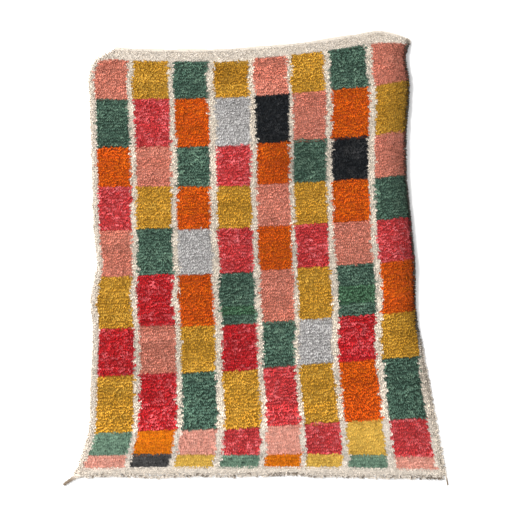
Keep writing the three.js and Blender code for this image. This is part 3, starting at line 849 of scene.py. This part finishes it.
for edge in named_rows(SIDE_COLUMNS, SIDES):
    side, calm = edge["side"], edge["calm"]
    draw = np.random.default_rng(SIDE_SEED + side)
    rows = dict(zip(ROW_COLUMNS, np.repeat(np.array(SIDE_ROWS).T, len(side_alongs), axis=1)))
    along = np.tile(side_alongs, len(SIDE_ROWS))
    count = len(along)
    along = along + draw.normal(0, SIDE_JITTER_ALONG, count)
    flat = 1 - smooth(ROLL_STARTS, ROLL_FULL, along)
    inset = rows["inset"] + edge["tuck"] * flat + draw.normal(0, SIDE_JITTER_ACROSS, count)
    across = inset if side < 0 else rug_section(along)["width"] - inset
    points, slope = lay(across, along, np.full(count, SIDE_LEVEL))
    outward = rows["outward"] + calm * draw.normal(0, SIDE_OUT_SPREAD, count)
    uneven_lean = SIDE_LEAN_DRIFT * soft_noise(across, along, *SIDE_LUMPS)
    uneven_lean += draw.normal(0, SIDE_LEAN_SPREAD, count)
    down = SIDE_LEAN + calm * uneven_lean
    lean = np.stack([down, slope + side * outward, np.zeros(count)], axis=-1)
    tone = SIDE_TONE + calm * draw.normal(0, SIDE_UNEVEN, count)
    # Painted shade along the rolled edge and on its flap, and the patches of tone and painted shade.
    tone = tone * painted_roll_shade(across, along) * patch_tone_and_painted_shade(across, along)
    pale = np.full(count, edge["pale"])
    spin = draw.normal(math.pi / 2, PILE_SPIN, count)
    size = tuft_sizes(draw, count, SIDE_WIDTH, SIDE_HEIGHT)
    covered = (side > 0) & (along > COVER_STARTS) & (along < ROLL_FULL)
    seen = ~covered | (rows["inset"] < SIDE_ROWS[0][0])
    tied = [values[seen] for values in (points, lean, spin, size, tone, pale)]
    piece = knotted(edge["piece"], *tied, side_wool, ruffle=SIDE_RUFFLE)
    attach(piece, "root")
    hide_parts(edge["node"])

# Lower fringe
# The warps end in short knots below the last wefts, brown with handling here and there. The left corner
# keeps a twisted tail of gathered warps, and the right corner a loose thread.
FRINGE_PITCH, FRINGE_LENGTH, FRINGE_WIDTH, FRINGE_RUFFLE = 0.0090, 0.0125, 0.0095, 0.005
FRINGE_INSET, FRINGE_LEVEL, FRINGE_JITTER, FRINGE_WAVE = 0.018, 0.0060, 0.002, 0.003
FRINGE_LEAN, FRINGE_LEAN_SPREAD, FRINGE_SIDE_SPREAD, FRINGE_TONE_SPREAD = 0.85, 0.3, 0.45, 0.10
HANDLED_LEAST, HANDLED_MORE, HANDLED_PALE, CLEAN_PALE = 0.14, 0.5, 0.15, 0.95
FRINGE_SEED, WAVE_LUMPS, HANDLED_LUMPS = 25, (0.22, 61), (0.06, 62)
FRINGE_ROWS = (0.012, 0.006)
FRINGE_DROP_COLUMNS = ("across", "reach", "drop")
FRINGE_DROPS = ((0.40, 0.10, 0.008), (0.78, 0.06, 0.005), (1.07, 0.09, -0.008))
WARP_LOTS = ((0.22, 0.17, 0.125), (0.76, 0.68, 0.59), 0.7)
fringe_wool = yarn_material("warp yarn", WARP_LOTS)
fringe_width = float(rug_section(np.array([FRINGE_ROWS[0]]))["width"][0])
draw = np.random.default_rng(FRINGE_SEED)
warp_places = np.arange(FRINGE_INSET, fringe_width - FRINGE_INSET, FRINGE_PITCH)
fringe_across = np.tile(warp_places, len(FRINGE_ROWS))
fringe_count = len(fringe_across)
level = np.zeros(fringe_count)
fringe_across = fringe_across + draw.normal(0, FRINGE_JITTER, fringe_count)
fringe_along = np.repeat(FRINGE_ROWS, len(warp_places)) + draw.normal(0, FRINGE_JITTER, fringe_count)
fringe_along += FRINGE_WAVE * soft_noise(fringe_across, level, *WAVE_LUMPS)
for dip in named_rows(FRINGE_DROP_COLUMNS, FRINGE_DROPS):
    fringe_along -= dip["drop"] * hump(fringe_across, dip["across"], dip["reach"])
fringe_points, _ = lay(fringe_across, fringe_along, np.full(fringe_count, FRINGE_LEVEL))
fringe_down = FRINGE_LEAN + draw.normal(0, FRINGE_LEAN_SPREAD, fringe_count)
fringe_sideways = draw.normal(0, FRINGE_SIDE_SPREAD, fringe_count)
fringe_lean = np.stack([fringe_down, fringe_sideways, level], axis=-1)
fringe_tone = 1 + draw.normal(0, FRINGE_TONE_SPREAD, fringe_count)
handled = np.clip(soft_noise(fringe_across, level, *HANDLED_LUMPS), 0, None)
handled = HANDLED_LEAST + HANDLED_MORE * handled
fringe_pale = np.where(draw.uniform(0, 1, fringe_count) < handled, HANDLED_PALE, CLEAN_PALE)
fringe_spin = draw.normal(0, PILE_SPIN, fringe_count)
fringe_size = tuft_sizes(draw, fringe_count, FRINGE_WIDTH, FRINGE_LENGTH)
fringe = knotted("warp_ends", fringe_points, fringe_lean, fringe_spin, fringe_size, fringe_tone,
                 fringe_pale, fringe_wool, ruffle=FRINGE_RUFFLE)
bpy.data.objects.remove(tuft)
CORNER_END_COLUMNS = ("piece", "across", "length", "width", "tip_width",
                      "flatness", "bearing", "turns", "bend")
CORNER_ENDS = (
    ("corner_tail", 0.040, 0.098, 0.030, 0.015, 0.60, 209, 1.8, 0.14),
    ("corner_thread", fringe_width - 0.014, 0.049, 0.008, 0.007, 1.0, 290, 3.0, -0.30),
)
CORNER_END_ALONG, PLY_COUNT, PLY_SIDES, PLY_STEPS = 0.017, 3, 8, 40
PLY_LEVEL, PLY_WOUND_AT, PLY_RADIUS, PLY_DEPTH = 0.52, 0.26, 0.27, 0.8
TAPER_STARTS, TAPER_LENGTH, TAPER_STEEPNESS, TAPER_LEAST = 0.04, 0.94, 4, 0.05
PLY_PALES, PLY_BROWNED_FROM, PLY_BROWNED_TO = (0.85, 0.55, 0.70), 0.15, 0.62


def plied_end(sizes):
    """A corner's loose end on the floor: plies wound round each other, each closed at both ends."""
    (root,), _ = lay(np.array([sizes["across"]]), np.array([CORNER_END_ALONG]), np.zeros(1))
    u = np.linspace(0, 1, PLY_STEPS)
    heading = math.radians(sizes["bearing"]) + sizes["bend"] * u
    step = sizes["length"] / (PLY_STEPS - 1)
    thick = sizes["tip_width"] + (sizes["width"] - sizes["tip_width"]) * (1 - u) ** 2
    flat = 1 + (sizes["flatness"] - 1) * (1 - u)
    middle = np.stack([
        root[0] + np.cumsum(np.cos(heading)) * step,
        root[1] + np.cumsum(np.sin(heading)) * step,
        FLOOR_CLEARANCE + thick * flat * PLY_LEVEL,
    ], axis=-1)
    taper = np.sin(math.pi * (TAPER_STARTS + TAPER_LENGTH * u)) * TAPER_STEEPNESS
    radius = thick * PLY_RADIUS * np.clip(taper, TAPER_LEAST, 1.0)
    sideways = np.stack([-np.sin(heading), np.cos(heading), np.zeros_like(u)], axis=-1)
    upward = np.stack([np.zeros_like(u), np.zeros_like(u), flat], axis=-1)
    points, faces, pales = [], [], []
    for ply in range(PLY_COUNT):
        wind = 2 * math.pi * (sizes["turns"] * u + ply / PLY_COUNT)
        wound = np.cos(wind)[:, None] * sideways + np.sin(wind)[:, None] * upward
        centre = middle + (thick * PLY_WOUND_AT)[:, None] * wound
        first = len(points)
        for k in range(PLY_STEPS):
            for j in range(PLY_SIDES):
                turn = 2 * math.pi * j / PLY_SIDES
                around = math.cos(turn) * sideways[k] + math.sin(turn) * upward[k]
                points.append(centre[k] + radius[k] * around)
        pale = PLY_PALES[ply] * (1 - smooth(PLY_BROWNED_FROM, PLY_BROWNED_TO, u))
        pales += list(np.repeat(pale, PLY_SIDES))
        for k in range(PLY_STEPS - 1):
            for j in range(PLY_SIDES):
                here, after = first + k * PLY_SIDES, (j + 1) % PLY_SIDES
                faces.append((here + j, here + PLY_SIDES + j, here + PLY_SIDES + after, here + after))
        faces.append(tuple(range(first, first + PLY_SIDES)))
        last = first + (PLY_STEPS - 1) * PLY_SIDES
        faces.append(tuple(reversed(range(last, last + PLY_SIDES))))
    mesh = bpy.data.meshes.new(sizes["piece"])
    mesh.from_pydata(points, [], faces)
    even = np.ones(len(points))
    for label, values in (("pale", pales), ("tone", even), ("end", even), ("height", PLY_DEPTH * even)):
        mesh.attributes.new(label, "FLOAT", "POINT").data.foreach_set("value", values)
    mesh.materials.append(fringe_wool)
    mesh.shade_smooth()
    return new_piece(sizes["piece"], mesh)


fringe_pieces = [fringe, *(plied_end(end) for end in named_rows(CORNER_END_COLUMNS, CORNER_ENDS))]
for piece in fringe_pieces:
    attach(piece, "root")
    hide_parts("lower_fringe")

# Floor, light and camera
# A plain pale floor, one large soft light from the upper left and a weaker one from below, and the
# camera above the lower end, looking down on the rug's face.
FLOOR_REACH, FLOOR_PAINT, SKY_STRENGTH = 9, (0.90, 0.90, 0.90, 1), 0.67
FLOOR_CORNERS = ((-1, -1), (1, -1), (1, 1), (-1, 1))
floor_points = [(FLOOR_REACH * x, FLOOR_REACH * y, 0) for x, y in FLOOR_CORNERS]
floor_mesh = bpy.data.meshes.new("floor")
floor_mesh.from_pydata(floor_points, [], [(0, 1, 2, 3)])
floor = new_piece("floor", floor_mesh)
floor_material, floor_tree, floor_shader = new_material("pale floor", roughness=0.9, sheen=0.0)
fill(floor_tree, floor_shader, {"Base Color": FLOOR_PAINT})
floor_mesh.materials.append(floor_material)
world = bpy.data.worlds.new("studio")
world.use_nodes = True
sky = world.node_tree.nodes["Background"]
fill(world.node_tree, sky, {"Color": (1, 1, 1, 1), "Strength": SKY_STRENGTH})
bpy.context.scene.world = world
bpy.context.scene.view_settings.view_transform = "Standard"


def soft_light(name, spot, size, power):
    """A square lamp that faces the middle of the rug."""
    lamp = bpy.data.lights.new(name, "AREA")
    lamp.size = size
    lamp.energy = power
    light = new_piece(name, lamp)
    light.location = spot
    x, y, z = spot
    light.rotation_euler = (math.atan2(math.hypot(x, y), z), 0, math.atan2(y, x) + math.pi / 2)


soft_light("key", spot=(-4.3, 2.6, 6.2), size=2.4, power=830)
soft_light("fill", spot=(-0.6, -4.6, 5.0), size=4.0, power=150)

CAMERA_ELEVATION = math.radians(80)
CAMERA_DISTANCE, TARGET_ALONG, TARGET_HEIGHT = 6.0, 1.088, 0.012
CAMERA_TARGET = (PLAN_SHIFT[0], PLAN_SHIFT[1] + TARGET_ALONG, TARGET_HEIGHT)
FOCAL_PIXELS, FRAME_PIXELS = 1200, 512
lens = bpy.data.cameras.new("camera")
lens.sensor_width = 36.0
lens.lens = lens.sensor_width * FOCAL_PIXELS / FRAME_PIXELS
lens.clip_end = 50
camera = new_piece("camera", lens)
camera.location = (
    CAMERA_TARGET[0],
    CAMERA_TARGET[1] - CAMERA_DISTANCE * math.cos(CAMERA_ELEVATION),
    CAMERA_TARGET[2] + CAMERA_DISTANCE * math.sin(CAMERA_ELEVATION),
)
camera.rotation_euler = (math.pi / 2 - CAMERA_ELEVATION, 0, 0)
bpy.context.scene.camera = camera
